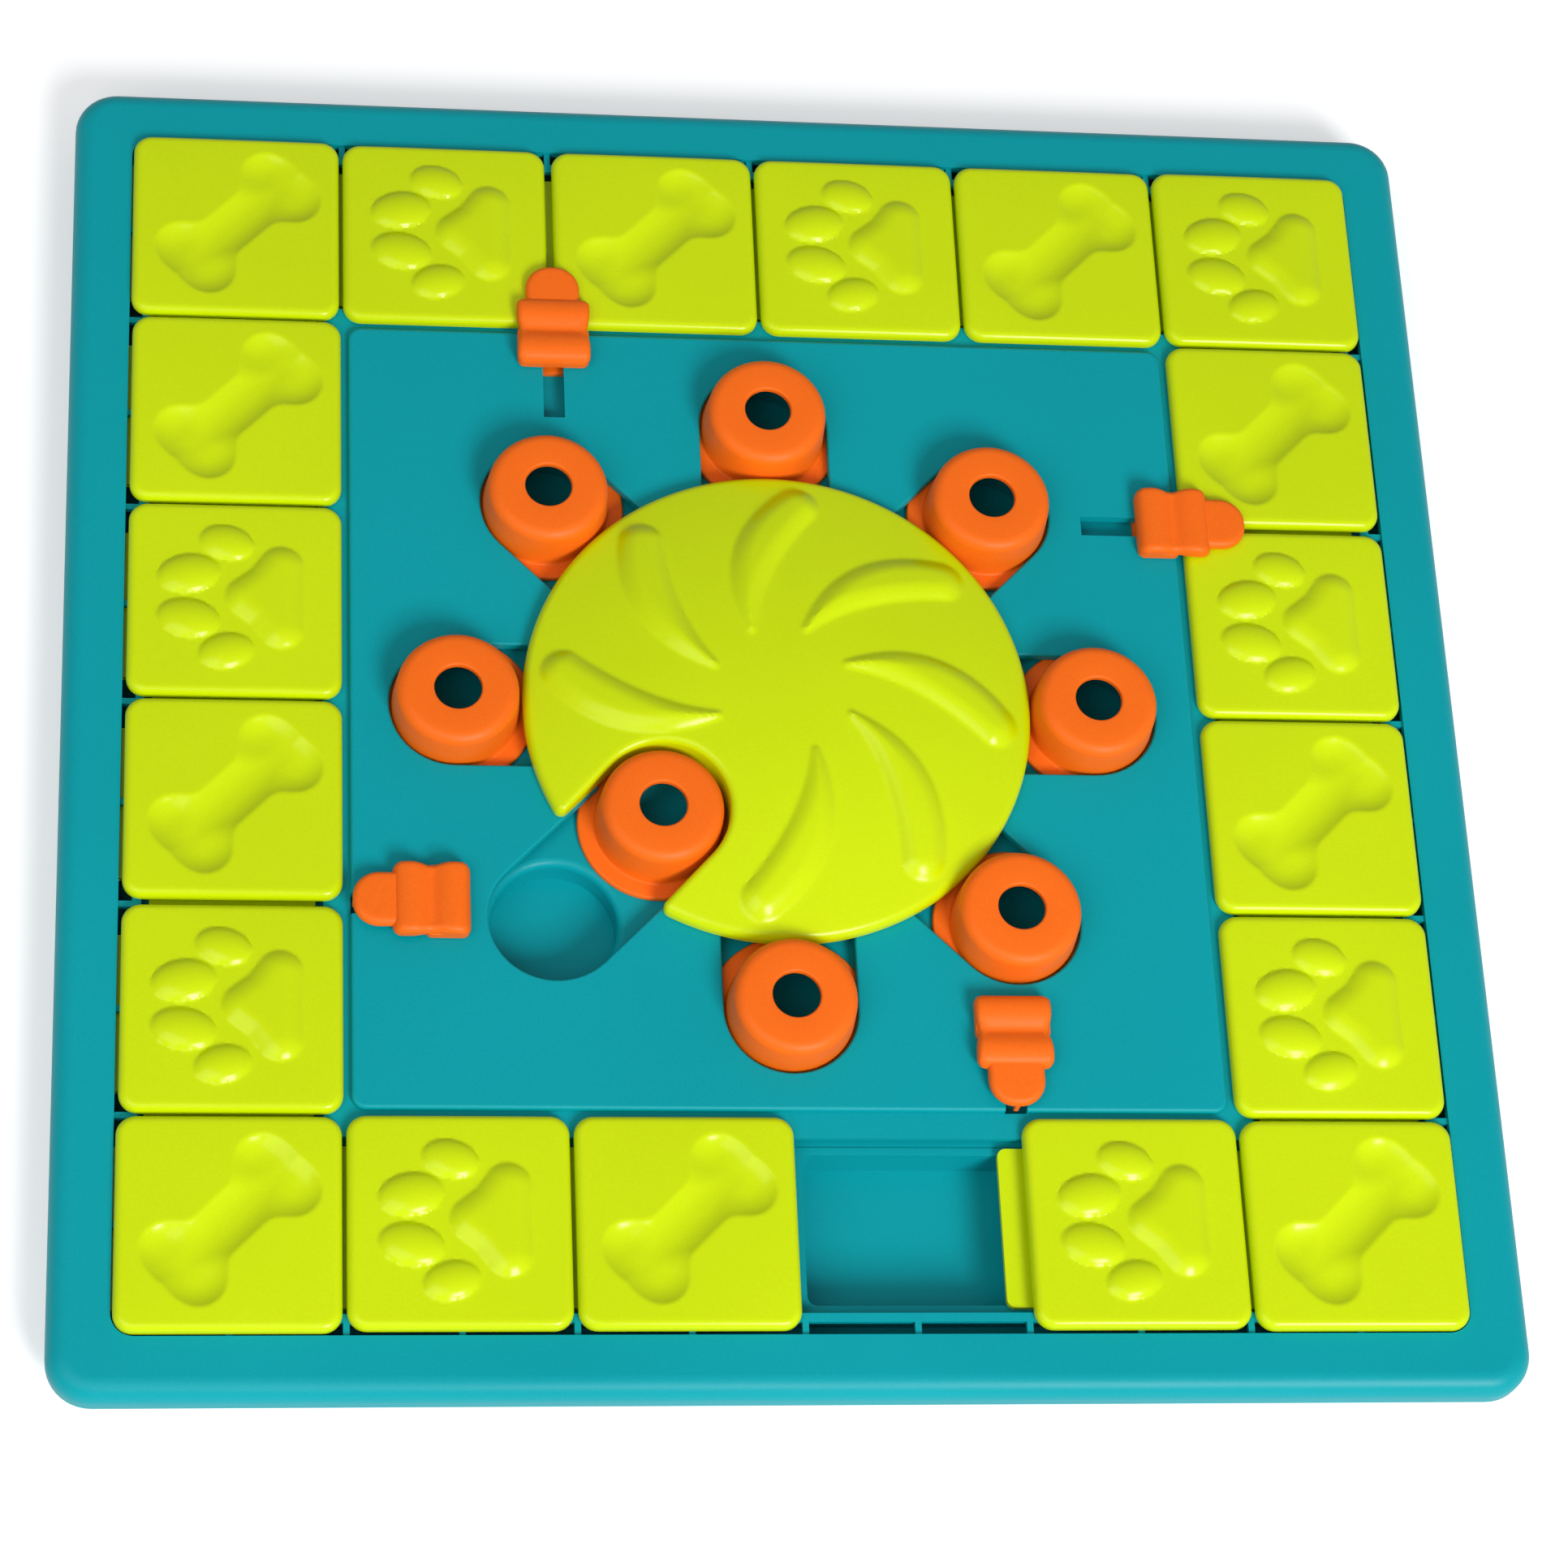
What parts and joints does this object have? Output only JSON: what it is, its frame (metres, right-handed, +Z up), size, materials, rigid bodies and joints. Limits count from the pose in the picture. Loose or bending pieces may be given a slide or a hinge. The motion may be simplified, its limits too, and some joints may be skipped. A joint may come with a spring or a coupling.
{
  "type": "dog puzzle feeder",
  "caption": "Square treat puzzle board: a ring of sliding tiles over cells, hollow pegs sliding in radial slots over cups, a notched turning wheel and sliding latches.",
  "frame": {"origin": "under the middle of the square board, at the level its rubber feet stand on", "axes": "+Z up, +X to the right and +Y to the far side, with the open cell in the near row"},
  "size_m": [0.42, 0.42, 0.0404],
  "materials": {
    "teal": "satin",
    "lime": "gloss",
    "orange": "satin",
    "hub_plastic": "satin",
    "screw_steel": "satin",
    "foot_rubber": "matte"
  },
  "bodies": {
    "board": {"base_tray": "teal", "rubber_feet": "foot_rubber", "peg_deck": "teal", "centre_cover": "teal", "top_frame": "teal", "cover_screws": "screw_steel"},
    "wheel": {"wheel": "lime", "hub_washer": "hub_plastic", "hub_screw": "screw_steel"},
    "peg_e": {"peg_e": "orange"},
    "peg_ne": {"peg_ne": "orange"},
    "peg_n": {"peg_n": "orange"},
    "peg_nw": {"peg_nw": "orange"},
    "peg_w": {"peg_w": "orange"},
    "peg_sw": {"peg_sw": "orange"},
    "peg_s": {"peg_s": "orange"},
    "peg_se": {"peg_se": "orange"},
    "latch_e": {"latch_e": "orange"},
    "latch_n": {"latch_n": "orange"},
    "latch_w": {"latch_w": "orange"},
    "latch_s": {"latch_s": "orange"},
    "tile_r1c1": {"tile_r1c1_cap": "lime", "tile_r1c1_runner": "lime"},
    "tile_r1c2": {"tile_r1c2_cap": "lime", "tile_r1c2_runner": "lime"},
    "tile_r1c3": {"tile_r1c3_cap": "lime", "tile_r1c3_runner": "lime"},
    "tile_r1c4": {"tile_r1c4_cap": "lime", "tile_r1c4_runner": "lime"},
    "tile_r1c5": {"tile_r1c5_cap": "lime", "tile_r1c5_runner": "lime"},
    "tile_r1c6": {"tile_r1c6_cap": "lime", "tile_r1c6_runner": "lime"},
    "tile_r2c1": {"tile_r2c1_cap": "lime", "tile_r2c1_runner": "lime"},
    "tile_r2c6": {"tile_r2c6_cap": "lime", "tile_r2c6_runner": "lime"},
    "tile_r3c1": {"tile_r3c1_cap": "lime", "tile_r3c1_runner": "lime"},
    "tile_r3c6": {"tile_r3c6_cap": "lime", "tile_r3c6_runner": "lime"},
    "tile_r4c1": {"tile_r4c1_cap": "lime", "tile_r4c1_runner": "lime"},
    "tile_r4c6": {"tile_r4c6_cap": "lime", "tile_r4c6_runner": "lime"},
    "tile_r5c1": {"tile_r5c1_cap": "lime", "tile_r5c1_runner": "lime"},
    "tile_r5c6": {"tile_r5c6_cap": "lime", "tile_r5c6_runner": "lime"},
    "tile_r6c1": {"tile_r6c1_cap": "lime", "tile_r6c1_runner": "lime"},
    "tile_r6c2": {"tile_r6c2_cap": "lime", "tile_r6c2_runner": "lime"},
    "tile_r6c3": {"tile_r6c3_cap": "lime", "tile_r6c3_runner": "lime"},
    "tile_r6c5": {"tile_r6c5_cap": "lime", "tile_r6c5_runner": "lime"},
    "tile_r6c6": {"tile_r6c6_cap": "lime", "tile_r6c6_runner": "lime"}
  },
  "joints": [
    {"name": "wheel_turn", "type": "hinge", "parent": "board", "child": "wheel", "pos_m": [0, 0, 0.02], "axis": [0, 0, 1], "range_deg": [-1, 1]},
    {"name": "peg_e_slide", "type": "slide", "parent": "board", "child": "peg_e", "axis": [1, 0, 0], "range_m": [-0.0003, 0.0003]},
    {"name": "peg_ne_slide", "type": "slide", "parent": "board", "child": "peg_ne", "axis": [0.7071, 0.7071, 0], "range_m": [-0.0003, 0.0003]},
    {"name": "peg_n_slide", "type": "slide", "parent": "board", "child": "peg_n", "axis": [0, 1, 0], "range_m": [-0.0003, 0.0003]},
    {"name": "peg_nw_slide", "type": "slide", "parent": "board", "child": "peg_nw", "axis": [-0.7071, 0.7071, 0], "range_m": [-0.0003, 0.0003]},
    {"name": "peg_w_slide", "type": "slide", "parent": "board", "child": "peg_w", "axis": [-1, 0, 0], "range_m": [-0.0003, 0.0003]},
    {"name": "peg_sw_slide", "type": "slide", "parent": "board", "child": "peg_sw", "axis": [-0.7071, -0.7071, 0], "range_m": [0, 0.044]},
    {"name": "peg_s_slide", "type": "slide", "parent": "board", "child": "peg_s", "axis": [0, -1, 0], "range_m": [-0.0003, 0.0003]},
    {"name": "peg_se_slide", "type": "slide", "parent": "board", "child": "peg_se", "axis": [0.7071, -0.7071, 0], "range_m": [-0.0003, 0.0003]},
    {"name": "latch_e_slide", "type": "slide", "parent": "board", "child": "latch_e", "axis": [1, 0, 0], "range_m": [-0.0215, 0]},
    {"name": "latch_n_slide", "type": "slide", "parent": "board", "child": "latch_n", "axis": [0, 1, 0], "range_m": [-0.0215, 0]},
    {"name": "latch_w_slide", "type": "slide", "parent": "board", "child": "latch_w", "axis": [-1, 0, 0], "range_m": [0, 0.0215]},
    {"name": "latch_s_slide", "type": "slide", "parent": "board", "child": "latch_s", "axis": [0, -1, 0], "range_m": [0, 0.0215]},
    {"name": "tile_r1c1_slide", "type": "slide", "parent": "board", "child": "tile_r1c1", "axis": [1, 0, 0], "range_m": [-0.0003, 0.0003]},
    {"name": "tile_r1c2_slide", "type": "slide", "parent": "board", "child": "tile_r1c2", "axis": [1, 0, 0], "range_m": [-0.0003, 0.0003]},
    {"name": "tile_r1c3_slide", "type": "slide", "parent": "board", "child": "tile_r1c3", "axis": [1, 0, 0], "range_m": [-0.0003, 0.0003]},
    {"name": "tile_r1c4_slide", "type": "slide", "parent": "board", "child": "tile_r1c4", "axis": [1, 0, 0], "range_m": [-0.0003, 0.0003]},
    {"name": "tile_r1c5_slide", "type": "slide", "parent": "board", "child": "tile_r1c5", "axis": [1, 0, 0], "range_m": [-0.0003, 0.0003]},
    {"name": "tile_r1c6_slide", "type": "slide", "parent": "board", "child": "tile_r1c6", "axis": [1, 0, 0], "range_m": [-0.0003, 0.0003]},
    {"name": "tile_r2c1_slide", "type": "slide", "parent": "board", "child": "tile_r2c1", "axis": [0, 1, 0], "range_m": [-0.0003, 0.0003]},
    {"name": "tile_r2c6_slide", "type": "slide", "parent": "board", "child": "tile_r2c6", "axis": [0, 1, 0], "range_m": [-0.0003, 0.0003]},
    {"name": "tile_r3c1_slide", "type": "slide", "parent": "board", "child": "tile_r3c1", "axis": [0, 1, 0], "range_m": [-0.0003, 0.0003]},
    {"name": "tile_r3c6_slide", "type": "slide", "parent": "board", "child": "tile_r3c6", "axis": [0, 1, 0], "range_m": [-0.0003, 0.0003]},
    {"name": "tile_r4c1_slide", "type": "slide", "parent": "board", "child": "tile_r4c1", "axis": [0, 1, 0], "range_m": [-0.0003, 0.0003]},
    {"name": "tile_r4c6_slide", "type": "slide", "parent": "board", "child": "tile_r4c6", "axis": [0, 1, 0], "range_m": [-0.0003, 0.0003]},
    {"name": "tile_r5c1_slide", "type": "slide", "parent": "board", "child": "tile_r5c1", "axis": [0, 1, 0], "range_m": [-0.0003, 0.0003]},
    {"name": "tile_r5c6_slide", "type": "slide", "parent": "board", "child": "tile_r5c6", "axis": [0, 1, 0], "range_m": [-0.0003, 0.0003]},
    {"name": "tile_r6c1_slide", "type": "slide", "parent": "board", "child": "tile_r6c1", "axis": [1, 0, 0], "range_m": [-0.0003, 0.0003]},
    {"name": "tile_r6c2_slide", "type": "slide", "parent": "board", "child": "tile_r6c2", "axis": [1, 0, 0], "range_m": [-0.0003, 0.0003]},
    {"name": "tile_r6c3_slide", "type": "slide", "parent": "board", "child": "tile_r6c3", "axis": [1, 0, 0], "range_m": [-0.0003, 0.0634]},
    {"name": "tile_r6c5_slide", "type": "slide", "parent": "board", "child": "tile_r6c5", "axis": [1, 0, 0], "range_m": [-0.0634, 0.0003]},
    {"name": "tile_r6c6_slide", "type": "slide", "parent": "board", "child": "tile_r6c6", "axis": [1, 0, 0], "range_m": [-0.0003, 0.0003]}
  ]
}
